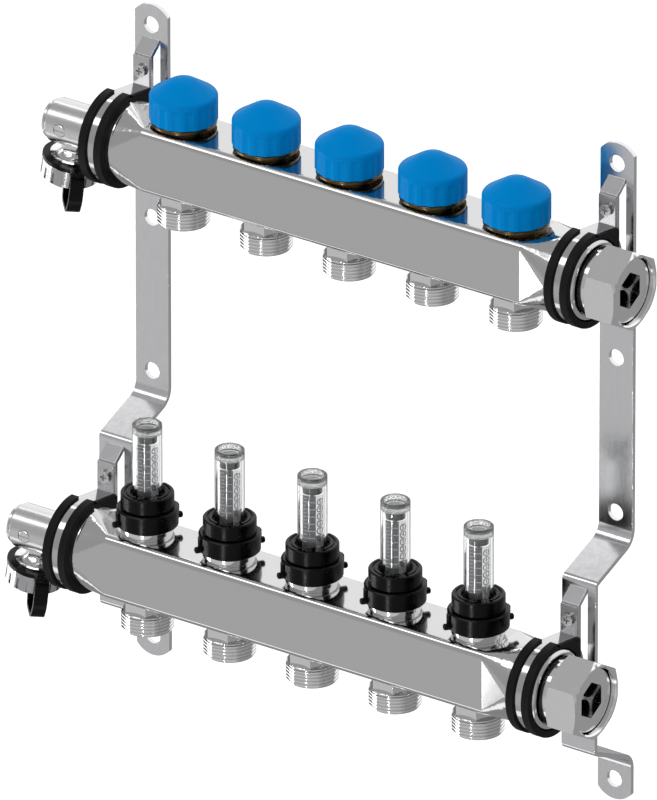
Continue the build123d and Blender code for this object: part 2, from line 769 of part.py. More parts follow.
def save_circuits():
    repeated = {
        "hand_cap": (return_place, make_hand_cap()),
        "valve_pin": (return_place, make_valve_pin()),
        "lock_ring": (supply_place, make_lock_ring()),
        "flow_dial": (supply_place, make_flow_dial()),
        "sight_glass": (supply_place, make_sight_glass()),
        "flow_indicator": (supply_place, make_flow_indicator()),
    }
    for name, (place, shape) in repeated.items():
        for number, x in enumerate(circuit_places, 1):
            save(f"{name}_{number}", at(place + Vector(x, 0, 0), shape))
    grouped = {
        "return_outlets": (return_place, make_outlet()),
        "supply_outlets": (supply_place, make_outlet()),
        "valve_inserts": (return_place, make_valve_insert()),
        "flow_inserts": (supply_place, make_flow_insert()),
    }
    for name, (place, shape) in grouped.items():
        save_group(name, [at(place + Vector(x, 0, 0), shape) for x in circuit_places])


def save_bars():
    bar, nut, tail = make_bar(), make_union_nut(), make_union_tail()
    left_pieces = {
        "end_piece": make_end_piece(),
        "drain_spout": make_drain_spout(),
        "drain_cap": make_drain_cap(),
        "cap_strap": make_cap_strap(),
        "vent_screw": make_vent_screw(),
    }
    for side, place in (("return", return_place), ("supply", supply_place)):
        save(f"{side}_bar", at(place, bar))
        mouth = at(place, Pos(X=bar_half + nut_gap) * Rot(Y=90))
        save(f"union_nut_{side}", mouth * nut)
        save(f"union_tail_{side}", mouth * tail)
        for name, shape in left_pieces.items():
            save(f"{name}_{side}", at(place, shape))


def save_brackets():
    bracket, band, lining, screw = (
        make_bracket(), make_clamp_band(), make_clamp_lining(), make_clamp_screw())
    save("bracket_left", Pos(X=-bracket_x) * bracket)
    save("bracket_right", Pos(X=bracket_x) * bracket)
    clamps = [place + Vector(x, 0, 0) for place in (return_place, supply_place)
              for x in (-bracket_x, bracket_x)]
    for name, shape in (("clamp_bands", band), ("clamp_linings", lining), ("clamp_screws", screw)):
        save_group(name, [at(place, shape) for place in clamps])


os.makedirs("parts", exist_ok=True)
save_circuits()
save_bars()
save_brackets()
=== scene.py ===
import json
import math

import bpy
from mathutils import Matrix, Vector

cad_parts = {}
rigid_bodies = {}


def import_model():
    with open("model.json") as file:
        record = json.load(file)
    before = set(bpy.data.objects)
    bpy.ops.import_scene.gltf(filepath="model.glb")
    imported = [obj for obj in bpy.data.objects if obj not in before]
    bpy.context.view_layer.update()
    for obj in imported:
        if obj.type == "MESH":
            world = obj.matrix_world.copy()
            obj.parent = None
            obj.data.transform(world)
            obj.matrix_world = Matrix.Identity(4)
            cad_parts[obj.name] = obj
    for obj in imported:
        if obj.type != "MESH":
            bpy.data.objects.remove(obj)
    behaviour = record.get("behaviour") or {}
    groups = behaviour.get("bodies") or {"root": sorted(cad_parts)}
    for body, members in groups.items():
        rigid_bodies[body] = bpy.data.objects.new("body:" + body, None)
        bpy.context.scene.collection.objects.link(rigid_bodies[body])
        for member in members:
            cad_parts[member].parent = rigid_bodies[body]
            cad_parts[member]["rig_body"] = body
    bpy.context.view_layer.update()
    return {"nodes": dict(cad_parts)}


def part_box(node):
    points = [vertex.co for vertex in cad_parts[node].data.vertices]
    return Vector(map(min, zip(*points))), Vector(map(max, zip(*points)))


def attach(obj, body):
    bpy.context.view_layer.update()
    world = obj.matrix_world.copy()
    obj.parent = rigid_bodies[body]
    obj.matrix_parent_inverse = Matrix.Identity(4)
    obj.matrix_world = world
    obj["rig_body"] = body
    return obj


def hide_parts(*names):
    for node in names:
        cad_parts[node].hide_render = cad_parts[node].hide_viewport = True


# Underfloor heating manifold: a stainless return bar with blue hand caps over a supply bar
# with flow meters, on two bent wall brackets. Sizes are in millimetres unless a name says so.

mm = 0.001
mergeDistance = 0.002 * mm
circuitNumbers = (1, 2, 3, 4, 5)

for extra in list(bpy.data.objects):
    bpy.data.objects.remove(extra)

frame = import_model()
print("frame loaded with", len(frame["nodes"]), "nodes")


def deselectAll():
    if bpy.context.object and bpy.context.object.mode != "OBJECT":
        bpy.ops.object.mode_set(mode="OBJECT")
    bpy.ops.object.select_all(action="DESELECT")


def makeActive(piece):
    deselectAll()
    piece.select_set(True)
    bpy.context.view_layer.objects.active = piece


def linearColour(hexCode):
    # sRGB hex to the linear values that a shader socket holds
    channels = [int(hexCode[i:i + 2], 16) / 255 for i in (1, 3, 5)]
    linear = [c / 12.92 if c <= 0.04045 else ((c + 0.055) / 1.055) ** 2.4 for c in channels]
    return (*linear, 1)


def addNode(tree, kind, values=None, links=None, **settings):
    # A node with its settings, its input values and its incoming links
    node = tree.nodes.new(kind)
    for name, value in settings.items():
        setattr(node, name, value)
    for socket, value in (values or {}).items():
        node.inputs[socket].default_value = value
    for socket, source in (links or {}).items():
        tree.links.new(source, node.inputs[socket])
    return node


def newMaterial(name, base, roughness, metallic=0.0):
    material = bpy.data.materials.new(name)
    material.use_nodes = True
    tree = material.node_tree
    shader = tree.nodes["Principled BSDF"]
    shader.inputs["Base Color"].default_value = linearColour(base)
    shader.inputs["Roughness"].default_value = roughness
    shader.inputs["Metallic"].default_value = metallic
    return material, tree, shader


def addGrain(tree, shader, stretch, scale, bumpHeight, roughLow, roughHigh):
    # Noise in real units: scale counts features in a metre, stretch draws them out along an
    # axis, and the bump's height is in metres
    place = addNode(tree, "ShaderNodeTexCoord")
    turn = addNode(tree, "ShaderNodeMapping", {"Scale": stretch},
                   {"Vector": place.outputs["Object"]})
    noise = addNode(tree, "ShaderNodeTexNoise", {"Scale": scale, "Detail": 3.0},
                    {"Vector": turn.outputs["Vector"]})
    bump = addNode(tree, "ShaderNodeBump", {"Strength": 1.0, "Distance": bumpHeight},
                   {"Height": noise.outputs["Fac"]})
    tree.links.new(bump.outputs["Normal"], shader.inputs["Normal"])
    rough = addNode(tree, "ShaderNodeMapRange",
                    {"From Min": 0.3, "From Max": 0.7, "To Min": roughLow, "To Max": roughHigh},
                    {"Value": noise.outputs["Fac"]})
    tree.links.new(rough.outputs["Result"], shader.inputs["Roughness"])
    return noise


def mottle(tree, shader, noise, dark, light):
    # Slight change of tone over the surface, from the same noise
    ramp = addNode(tree, "ShaderNodeMix", data_type="RGBA")
    ramp.inputs[6].default_value = linearColour(dark)
    ramp.inputs[7].default_value = linearColour(light)
    tree.links.new(noise.outputs["Fac"], ramp.inputs[0])
    tree.links.new(ramp.outputs[2], shader.inputs["Base Color"])


def drawnStainless():
    # Stainless steel tube, drawn square and fine polished along its length: a satin mirror
    material, tree, shader = newMaterial("drawnStainlessSteel", "#C6C6C6", 0.1, 1.0)
    noise = addGrain(tree, shader, (0.03, 1, 1), 2600, 0.0000004, 0.08, 0.11)
    mottle(tree, shader, noise, "#C4C4C4", "#C9C9C9")
    return material


def zincStrip():
    # Bright zinc-plated steel strip: smooth, with a faint cloud in the plating
    material, tree, shader = newMaterial("brightZincPlatedStrip", "#D8D8DA", 0.17, 1.0)
    noise = addGrain(tree, shader, (1, 1, 0.25), 420, 0.0000006, 0.15, 0.19)
    mottle(tree, shader, noise, "#D4D4D6", "#DBDBDD")
    return material


def platedMetal(name, dark, light, roughLow, roughHigh, marks=0.0000015):
    # Turned and plated brass or steel, with the fine marks of the tool under the plating
    material, tree, shader = newMaterial(name, dark, roughLow, 1.0)
    noise = addGrain(tree, shader, (1, 1, 1), 900, marks, roughLow, roughHigh)
    mottle(tree, shader, noise, dark, light)
    return material


def turnedBrass():
    # Bare turned brass, its colour made far darker than brass: painted shade for the thin ring in
    # the gap under the cap
    material, tree, shader = newMaterial("turnedBrassWithPaintedShade", "#57482F", 0.22, 1.0)
    noise = addGrain(tree, shader, (1, 1, 1), 700, 0.000002, 0.18, 0.3)
    mottle(tree, shader, noise, "#4C3F2A", "#63533A")
    return material


def mouldedRubber():
    # EPDM rubber, moulded: matt, with a fine grain that takes the edge off the light
    material, tree, shader = newMaterial("mouldedRubber", "#0C0C0D", 0.55)
    shader.inputs["Specular IOR Level"].default_value = 0.12
    noise = addGrain(tree, shader, (1, 1, 1), 1900, 0.00001, 0.48, 0.62)
    mottle(tree, shader, noise, "#0A0A0B", "#0F0F10")
    return material


def blueAbs():
    # ABS, injection moulded with a fine eroded texture: a soft sheen and no sharp mirror
    material, tree, shader = newMaterial("mouldedBlueAbs", "#0080C8", 0.36)
    shader.inputs["Specular IOR Level"].default_value = 0.02
    noise = addGrain(tree, shader, (1, 1, 1), 1500, 0.000004, 0.26, 0.34)
    mottle(tree, shader, noise, "#007EC6", "#0082CA")
    return material


def blackNylon():
    # Glass-filled nylon from a fine mould: black, with a soft sheen
    material, tree, shader = newMaterial("mouldedBlackNylon", "#010101", 0.26)
    shader.inputs["Specular IOR Level"].default_value = 0.14
    noise = addGrain(tree, shader, (1, 1, 1), 500, 0.0000008, 0.22, 0.3)
    mottle(tree, shader, noise, "#000000", "#020202")
    return material


# Clear tubes: the moulded end and its rim begin at these heights, in metres, and the grain there
# is coarser than the real one, so that it shows
clearTube = {
    # dark is the colour of the painted shade: on the top rim, in specks on the moulded end, and
    # where the eye looks along the wall
    "clear": "#F7F8F8", "dark": "#5C5D5F", "endFrom": -0.0207, "endTo": -0.02,
    "rimShadeFrom": -0.0168, "rimShadeTo": -0.0164, "grainScale": 1500, "grainHeight": 0.00035,
    "grazingShadeFrom": 0.42, "grazingShadeTo": 0.8,
}


def clearPolycarbonate():
    # Clear polycarbonate with a rough moulded end. Its colour carries painted shade: darker where
    # the eye looks along its wall, dark specks on the moulded end as painted sparkle, and a dark
    # rim
    t = clearTube
    material, tree, shader = newMaterial("clearPolycarbonate", t["clear"], 0.02)
    shader.inputs["Transmission Weight"].default_value = 1.0
    shader.inputs["IOR"].default_value = 1.46
    place = addNode(tree, "ShaderNodeTexCoord")
    axes = addNode(tree, "ShaderNodeSeparateXYZ", None, {"Vector": place.outputs["Object"]})
    moulded = addNode(tree, "ShaderNodeMapRange",
                      {"From Min": t["endFrom"], "From Max": t["endTo"], "To Min": 0.02},
                      {"Value": axes.outputs["Z"]})
    noise = addNode(tree, "ShaderNodeTexNoise", {"Scale": t["grainScale"], "Detail": 2.0},
                    {"Vector": place.outputs["Object"]})
    height = addNode(tree, "ShaderNodeMath", None,
                     {0: noise.outputs["Fac"], 1: moulded.outputs["Result"]},
                     operation="MULTIPLY")
    bump = addNode(tree, "ShaderNodeBump", {"Strength": 1.0, "Distance": t["grainHeight"]},
                   {"Height": height.outputs["Value"]})
    tree.links.new(bump.outputs["Normal"], shader.inputs["Normal"])
    edge = addNode(tree, "ShaderNodeLayerWeight", {"Blend": 0.5})
    # painted shade where the eye looks along the wall
    grazingShade = addNode(tree, "ShaderNodeMapRange",
                    {"From Min": t["grazingShadeFrom"], "From Max": t["grazingShadeTo"]},
                    {"Value": edge.outputs["Facing"]}, interpolation_type="SMOOTHSTEP")
    # painted shade over the top rim and the closed end
    rim = addNode(tree, "ShaderNodeMapRange",
                  {"From Min": t["rimShadeFrom"], "From Max": t["rimShadeTo"], "To Max": 0.9},
                  {"Value": axes.outputs["Z"]})
    # dark specks on the moulded end stand in for its glitter: painted sparkle
    speck = addNode(tree, "ShaderNodeMapRange",
                    {"From Min": 0.44, "From Max": 0.56, "To Max": 0.8},
                    {"Value": noise.outputs["Fac"]})
    paintedSparkle = addNode(tree, "ShaderNodeMath", None,
                      {0: speck.outputs["Result"], 1: moulded.outputs["Result"]},
                      operation="MULTIPLY")
    ends = addNode(tree, "ShaderNodeMath", None,
                   {0: paintedSparkle.outputs["Value"], 1: rim.outputs["Result"]}, operation="MAXIMUM")
    dark = addNode(tree, "ShaderNodeMath", None,
                   {0: ends.outputs["Value"], 1: grazingShade.outputs["Result"]}, operation="MAXIMUM")
    # the clear colour, mixed towards the painted-shade colour
    paintedShadeTint = addNode(tree, "ShaderNodeMix", data_type="RGBA")
    paintedShadeTint.inputs[6].default_value = linearColour(t["clear"])
    paintedShadeTint.inputs[7].default_value = linearColour(t["dark"])
    tree.links.new(dark.outputs["Value"], paintedShadeTint.inputs[0])
    tree.links.new(paintedShadeTint.outputs[2], shader.inputs["Base Color"])
    return material


def printedFilm(name, base, alpha):
    # Thin printed film, not quite covering, so that the rod behind shows through it
    material, tree, shader = newMaterial(name, base, 0.4)
    shader.inputs["Alpha"].default_value = alpha
    addGrain(tree, shader, (1, 1, 1), 1500, 0.000003, 0.35, 0.5)
    return material


def plainPlastic(name, base, roughness):
    # Small moulded plastic piece, seen through the tube
    material, tree, shader = newMaterial(name, base, roughness)
    addGrain(tree, shader, (1, 1, 1), 1200, 0.000004, roughness - 0.05, roughness + 0.05)
    return material


finishes = {
    "steel": drawnStainless(),
    "zinc": zincStrip(),
    "nickel": platedMetal("nickelPlatedBrass", "#DCDCDD", "#E6E6E7", 0.08, 0.14),
    "satinNickel": platedMetal("blastedNickelPlate", "#CDCDCE", "#D5D5D6", 0.23, 0.27,
                               0.0000004),
    # zinc plate, greyer than the brackets': painted shade for the band lying deep between the
    # rubber ribs
    "bandZinc": platedMetal("zincPlatedBandWithPaintedShade", "#BCBCBE", "#C8C8CA", 0.1, 0.15),
    "capNickel": platedMetal("darkNickelPlate", "#AEAEB0", "#BABABC", 0.1, 0.16),
    "brass": turnedBrass(),
    "rubber": mouldedRubber(),
    "blue": blueAbs(),
    "black": blackNylon(),
    "clear": clearPolycarbonate(),
    "greyFilm": printedFilm("greyPrintedFilm", "#58595B", 0.85),
    "paleFilm": printedFilm("palePrintedFilm", "#C8C9CA", 0.3),
    "ink": plainPlastic("whitePrint", "#B6B6B8", 0.5),
    "darkInk": plainPlastic("darkGreyPrint", "#3A3A3C", 0.5),
    "disc": plainPlastic("darkGreyAcetal", "#2A2A2C", 0.4),
    "screw": platedMetal("zincPlatedScrew", "#BFBEBD", "#CFCECE", 0.2, 0.3),
}
print("finishes made")


def finishPiece(piece, finish, slot, body, *nodes):
    # Places are put in the mesh, the material on it, and the piece takes over from its CAD nodes
    makeActive(piece)
    bpy.ops.object.transform_apply(location=True, rotation=True, scale=True)
    piece.data.materials.clear()
    piece.data.materials.append(finishes[finish])
    if nodes:
        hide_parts(*nodes)
    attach(piece, body)


def markCrease(piece, place):
    # The edges that lie in the planes x = place and x = -place stay crisp: there the tube's
    # square length turns into its taper
    bpy.ops.object.mode_set(mode="EDIT")
    bpy.ops.mesh.select_mode(type="EDGE")
    bpy.ops.mesh.select_all(action="DESELECT")
    bpy.ops.object.mode_set(mode="OBJECT")
    points = piece.data.vertices
    for edge in piece.data.edges:
        edge.select = all(abs(abs(points[v].co.x) - place) < 10 * mergeDistance
                          for v in edge.vertices)
    bpy.ops.object.mode_set(mode="EDIT")
    bpy.ops.mesh.mark_sharp()
    bpy.ops.mesh.select_mode(type="VERT")
    bpy.ops.object.mode_set(mode="OBJECT")


def softenEdges(piece, width, angle=30, segments=2, creases=()):
    # Edges bent by more than the angle are rounded, and flat faces stay flat beside them
    makeActive(piece)
    bevel = piece.modifiers.new("softEdges", "BEVEL")
    bevel.width = width * mm
    bevel.segments = segments
    bevel.limit_method = "ANGLE"
    bevel.angle_limit = math.radians(angle)
    bevel.use_clamp_overlap = True
    bpy.ops.object.modifier_apply(modifier=bevel.name)
    bpy.ops.object.shade_smooth_by_angle(angle=math.radians(angle + 5))
    for place in creases:
        markCrease(piece, place * mm)
    flat = piece.modifiers.new("flatFaces", "WEIGHTED_NORMAL")
    flat.keep_sharp = True
    bpy.ops.object.modifier_apply(modifier=flat.name)


def dressNode(node, finish, slot, bevel, creases=()):
    # A merged copy of a CAD solid with softened edges, which a real edge has and a CAD edge lacks
    source = frame["nodes"][node]
    piece = bpy.data.objects.new("dressed_" + node, source.data.copy())
    bpy.context.scene.collection.objects.link(piece)
    makeActive(piece)
    bpy.ops.mesh.customdata_custom_splitnormals_clear()
    bpy.ops.object.mode_set(mode="EDIT")
    bpy.ops.mesh.select_all(action="SELECT")
    bpy.ops.mesh.remove_doubles(threshold=mergeDistance)
    bpy.ops.mesh.dissolve_limited(angle_limit=math.radians(0.6))
    bpy.ops.object.mode_set(mode="OBJECT")
    softenEdges(piece, bevel, creases=creases)
    finishPiece(piece, finish, slot, source["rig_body"], node)


def keepNode(node, finish):
    # A CAD solid that is hidden or fine as it is: only its material changes
    held = frame["nodes"][node]
    held.data.materials.clear()
    held.data.materials.append(finishes[finish])


def axisOf(node):
    # The middle of a CAD solid's box
    low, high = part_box(node)
    return (low + high) / 2


def drawLine(name, points):
    # One vertex, pushed along the points of a profile in the XZ plane
    deselectAll()
    x, z = points[0]
    bpy.ops.mesh.primitive_plane_add(size=mm, location=(x * mm, 0, z * mm))
    line = bpy.context.object
    line.name = name
    bpy.ops.object.mode_set(mode="EDIT")
    bpy.ops.mesh.select_all(action="SELECT")
    bpy.ops.mesh.merge(type="CENTER")
    for here, there in zip(points, points[1:]):
        step = ((there[0] - here[0]) * mm, 0, (there[1] - here[1]) * mm)
        bpy.ops.mesh.extrude_vertices_move(TRANSFORM_OT_translate={"value": step})
    return line


def turnProfile(name, points, steps, close=True):
    # A profile spun about the Z axis
    piece = drawLine(name, points + points[:1] if close else points)
    bpy.ops.mesh.select_all(action="SELECT")
    bpy.ops.mesh.spin(steps=steps, angle=2 * math.pi, center=(0, 0, 0), axis=(0, 0, 1))
    bpy.ops.mesh.select_all(action="SELECT")
    bpy.ops.mesh.remove_doubles(threshold=mergeDistance)
    bpy.ops.mesh.normals_make_consistent(inside=False)
    bpy.ops.object.mode_set(mode="OBJECT")
    bpy.ops.object.transform_apply(location=True, rotation=True, scale=True)
    return piece


def movedCopy(piece, name, matrix):
    # A copy with its own mesh, moved there
    twin = bpy.data.objects.new(name, piece.data.copy())
    bpy.context.scene.collection.objects.link(twin)
    twin.matrix_world = matrix
    return twin


def combine(piece, tool, operation):
    # A boolean that uses the tool up
    makeActive(piece)
    cut = piece.modifiers.new("combine", "BOOLEAN")
    cut.operation = operation
    cut.object = tool
    cut.solver = "EXACT"
    bpy.ops.object.modifier_apply(modifier=cut.name)
    bpy.data.objects.remove(tool)


# Threaded outlets below both bars
outlet = {
    "crest": 13.22, "root": 12.35, "pitch": 1.814, "top": -24.5, "bottom": -35.0,
    "chamfer": 0.9, "bore": 7.5, "mouth": 10.5, "hexagon": 21.0, "hexagonTop": -17.35,
    "steps": 84, "overlap": 1.0, "drumOverlap": 0.1, "edge": 0.08,
    "rootEnd": 0.16, "crestStart": 0.44, "crestEnd": 0.72,  # shares of the pitch
}


def makeThread():
    # A helix of flat-topped ridges, cut to length by a chamfered drum
    o = outlet
    crest, root, pitch, low, high = o["crest"], o["root"], o["pitch"], o["bottom"], o["top"]
    turns = math.ceil((high - low) / pitch) + 2
    points = []
    for turn in range(turns):
        z = low - 1.5 * pitch + turn * pitch
        points += [(root, z), (root, z + o["rootEnd"] * pitch),
                   (crest, z + o["crestStart"] * pitch), (crest, z + o["crestEnd"] * pitch)]
    points.append((root, points[0][1] + turns * pitch))
    thread = drawLine("outletThread", points)
    bpy.ops.object.mode_set(mode="OBJECT")
    bpy.ops.object.transform_apply(location=True, rotation=True, scale=True)
    screw = thread.modifiers.new("helix", "SCREW")
    screw.angle = 2 * math.pi
    screw.screw_offset = pitch * mm
    screw.steps = screw.render_steps = o["steps"]
    screw.use_merge_vertices = True
    screw.merge_threshold = mergeDistance
    bpy.ops.object.modifier_apply(modifier=screw.name)
    bpy.ops.object.mode_set(mode="EDIT")
    bpy.ops.mesh.select_all(action="SELECT")
    bpy.ops.mesh.remove_doubles(threshold=2 * mergeDistance)
    bpy.ops.mesh.select_mode(type="EDGE")
    bpy.ops.mesh.select_all(action="DESELECT")
    bpy.ops.mesh.select_non_manifold()
    bpy.ops.mesh.edge_face_add()
    bpy.ops.mesh.select_all(action="SELECT")
    bpy.ops.mesh.normals_make_consistent(inside=False)
    bpy.ops.mesh.select_mode(type="VERT")
    bpy.ops.object.mode_set(mode="OBJECT")
    rim, inner = crest + o["drumOverlap"], crest - o["chamfer"]
    drum = turnProfile("outletDrum", [
        (0, low), (inner, low), (rim, low + o["chamfer"]), (rim, high - o["chamfer"]),
        (inner, high), (0, high)], o["steps"], close=False)
    combine(thread, drum, "INTERSECT")
    return thread


def makeOutlet():
    # The thread with its hexagon neck, and a bore that widens to a cone seat at the mouth
    o = outlet
    over = o["overlap"]
    thread = makeThread()
    deselectAll()
    bpy.ops.mesh.primitive_cylinder_add(
        vertices=6, radius=o["hexagon"] / 2 / math.cos(math.pi / 6) * mm,
        depth=(o["hexagonTop"] - o["top"] + over) * mm,
        location=(0, 0, (o["hexagonTop"] + o["top"] - over) / 2 * mm),
        rotation=(0, 0, math.radians(30)))
    combine(thread, bpy.context.object, "UNION")
    bore = turnProfile("outletBore", [
        (0, o["hexagonTop"] + over), (o["bore"], o["hexagonTop"] + over),
        (o["bore"], o["bottom"] + o["mouth"] - o["bore"]),
        (o["mouth"] + over, o["bottom"] - over), (0, o["bottom"] - over)],
        o["steps"], close=False)
    combine(thread, bore, "DIFFERENCE")
    softenEdges(thread, o["edge"], 34, 1)
    return thread


master = makeOutlet()
for side in ("return", "supply"):
    height = axisOf(side + "_bar")
    for number in circuitNumbers:
        x = axisOf(f"valve_pin_{number}").x
        place = Matrix.Translation((x, height.y, height.z))
        twin = movedCopy(master, f"outlet_{side}_{number}", place)
        finishPiece(twin, "nickel", "outlet_nickel", "frame", side + "_outlets")
bpy.data.objects.remove(master)
print("outlets made")

# Flow meters: clear tube, printed scale inside it and a seal round its foot
meter = {
    "glassRadius": 7.5, "glassWall": 1.35, "footRadius": 8.8, "foot": 34.0, "footTop": 35.8,
    "top": 76.7, "recess": 2.7, "endThickness": 1.6, "lip": 0.5, "draft": 0.2,
    "dimple": 2.6, "dimpleHeight": 0.35,
    "filmRadius": 5.75, "filmThickness": 0.12, "filmLow": 39.0, "filmHigh": 67.5,
    "tickStart": 42.34, "tickPitch": 1.96, "tickCount": 13, "tickHeight": 0.32,
    "tickLong": 62.0, "tickShort": 22.0, "tickInset": 4.0, "inkThickness": 0.06,
    "bandStart": -53.5, "bandSpan": 69.5, "columnSpan": 46.0,
    "numberStart": 44.3, "numberPitch": 3.92, "numberCount": 6, "numberDirection": 38.0,
    "numberSize": 2.7, "ringOuter": 1.8, "ringInner": 1.4,
    "sealInner": 7.58, "sealOuter": 8.45, "sealLow": 37.2, "sealHigh": 38.1,
    "faceDirection": -54.7,  # the scale looks this way; directions and spans are in degrees
}


def turnPart(name, points, start, span, steps):
    # A closed profile spun through part of a turn, with its two ends filled. The spin runs
    # clockwise, so it begins at the far end
    piece = drawLine(name, points + points[:1])
    bpy.ops.mesh.select_all(action="SELECT")
    bpy.ops.mesh.remove_doubles(threshold=mergeDistance)
    bpy.ops.mesh.select_all(action="SELECT")
    bpy.ops.mesh.spin(steps=steps, angle=math.radians(span), center=(0, 0, 0), axis=(0, 0, 1))
    bpy.ops.mesh.select_all(action="SELECT")
    bpy.ops.mesh.remove_doubles(threshold=mergeDistance)
    bpy.ops.mesh.select_mode(type="EDGE")
    bpy.ops.mesh.select_all(action="DESELECT")
    bpy.ops.mesh.select_non_manifold()
    bpy.ops.mesh.edge_face_add()
    bpy.ops.mesh.select_all(action="SELECT")
    bpy.ops.mesh.normals_make_consistent(inside=False)
    bpy.ops.mesh.select_mode(type="VERT")
    bpy.ops.object.mode_set(mode="OBJECT")
    bpy.ops.object.transform_apply(location=True, rotation=True, scale=True)
    piece.data.transform(Matrix.Rotation(math.radians(start + span), 4, "Z"))
    return piece


def joined(name, pieces):
    deselectAll()
    for piece in pieces:
        piece.select_set(True)
    bpy.context.view_layer.objects.active = pieces[0]
    bpy.ops.object.join()
    pieces[0].name = name
    return pieces[0]


def makeGlass():
    # A tube with a flanged foot and a closed end, whose top has a recess with a raised middle
    m = meter
    r, top, lip, draft, dimple = (m["glassRadius"], m["top"], m["lip"], m["draft"],
                                  m["dimple"])
    bore, floor = r - m["glassWall"], top - m["recess"]
    middle, ceiling = floor + m["dimpleHeight"], floor - m["endThickness"]
    glass = turnProfile("glassTube", [
        (bore, m["foot"]), (m["footRadius"], m["foot"]), (m["footRadius"], m["footTop"]),
        (r, m["footTop"]), (r, top - lip), (r - lip, top), (bore + draft, top),
        (bore - draft, top - lip), (bore - 3 * draft, floor), (dimple + 3 * draft, floor),
        (dimple, middle), (0, middle), (0, ceiling), (bore - lip, ceiling),
        (bore, ceiling - lip)], 64)
    softenEdges(glass, 0.15, 30)
    return glass


def makeFilm(name, start, span):
    # A strip of thin film, curved round the inside of the tube
    m = meter
    r, t = m["filmRadius"], m["filmThickness"]
    return turnPart(name, [(r - t, m["filmLow"]), (r, m["filmLow"]), (r, m["filmHigh"]),
                           (r - t, m["filmHigh"])], m["faceDirection"] + start, span, 14)


def makeTicks():
    # Every other tick is a long one, level with a number
    m = meter
    inner, outer = m["filmRadius"], m["filmRadius"] + m["inkThickness"]
    start = m["faceDirection"] + m["bandStart"] + m["tickInset"]
    ticks = []
    for tick in range(m["tickCount"]):
        low = m["tickStart"] + tick * m["tickPitch"] - m["tickHeight"] / 2
        high = low + m["tickHeight"]
        span = m["tickLong"] if tick % 2 else m["tickShort"]
        ticks.append(turnPart("tick", [(inner, low), (outer, low), (outer, high), (inner, high)],
                              start, span, 10))
    return joined("scaleTicks", ticks)


def makeNumbers():
    # Plain numbers, each in a ring, wrapped on the film beside the band
    m = meter
    half = m["inkThickness"] / 2
    marks = []
    for number in range(m["numberCount"]):
        deselectAll()
        bpy.ops.object.text_add()
        digit = bpy.context.object
        digit.data.body = str(number)
        digit.data.size = m["numberSize"] * mm
        digit.data.align_x = "CENTER"
        digit.data.align_y = "CENTER"
        digit.data.extrude = half * mm
        bpy.ops.object.convert(target="MESH")
        ring = turnProfile("numberRing", [(m["ringInner"], -half), (m["ringOuter"], -half),
                                          (m["ringOuter"], half), (m["ringInner"], half)], 24)
        mark = joined("numberMark", [digit, ring])
        height = m["numberStart"] + number * m["numberPitch"]
        for point in mark.data.vertices:
            angle = math.radians(m["faceDirection"] + m["numberDirection"])
            angle += point.co.x / (m["filmRadius"] * mm)
            radius = (m["filmRadius"] + half + 0.01) * mm + point.co.z
            point.co = (radius * math.cos(angle), radius * math.sin(angle),
                        height * mm + point.co.y)
        marks.append(mark)
    return joined("scaleNumbers", marks)


glassMaster = makeGlass()
bandMaster = makeFilm("scaleBand", meter["bandStart"], meter["bandSpan"])
columnMaster = makeFilm("numberColumn", meter["bandStart"] + meter["bandSpan"],
                        meter["columnSpan"])
tickMaster, numberMaster = makeTicks(), makeNumbers()
sealMaster = turnProfile("tubeSeal", [
    (meter["sealInner"], meter["sealLow"]), (meter["sealOuter"], meter["sealLow"]),
    (meter["sealOuter"], meter["sealHigh"]), (meter["sealInner"], meter["sealHigh"])], 48)
softenEdges(sealMaster, 0.3, 30, 3)
supplyAxis = axisOf("supply_bar")
for number in circuitNumbers:
    place = Matrix.Translation((axisOf(f"sight_glass_{number}").x, supplyAxis.y, supplyAxis.z))
    finishPiece(movedCopy(glassMaster, f"glass_{number}", place), "clear", "clear_plastic",
                "frame", f"sight_glass_{number}")
    for part, name, finish in ((bandMaster, "scale_band", "greyFilm"),
                               (columnMaster, "scale_column", "paleFilm"),
                               (tickMaster, "scale_ticks", "ink"),
                               (numberMaster, "scale_numbers", "darkInk")):
        finishPiece(movedCopy(part, f"{name}_{number}", place), finish, "indicator_plastic",
                    "frame")
    finishPiece(movedCopy(sealMaster, f"tube_seal_{number}", place), "rubber",
                "strap_rubber", f"dial_{number}")
for used in (glassMaster, bandMaster, columnMaster, tickMaster, numberMaster, sealMaster):
    bpy.data.objects.remove(used)
print("flow meter tubes made")

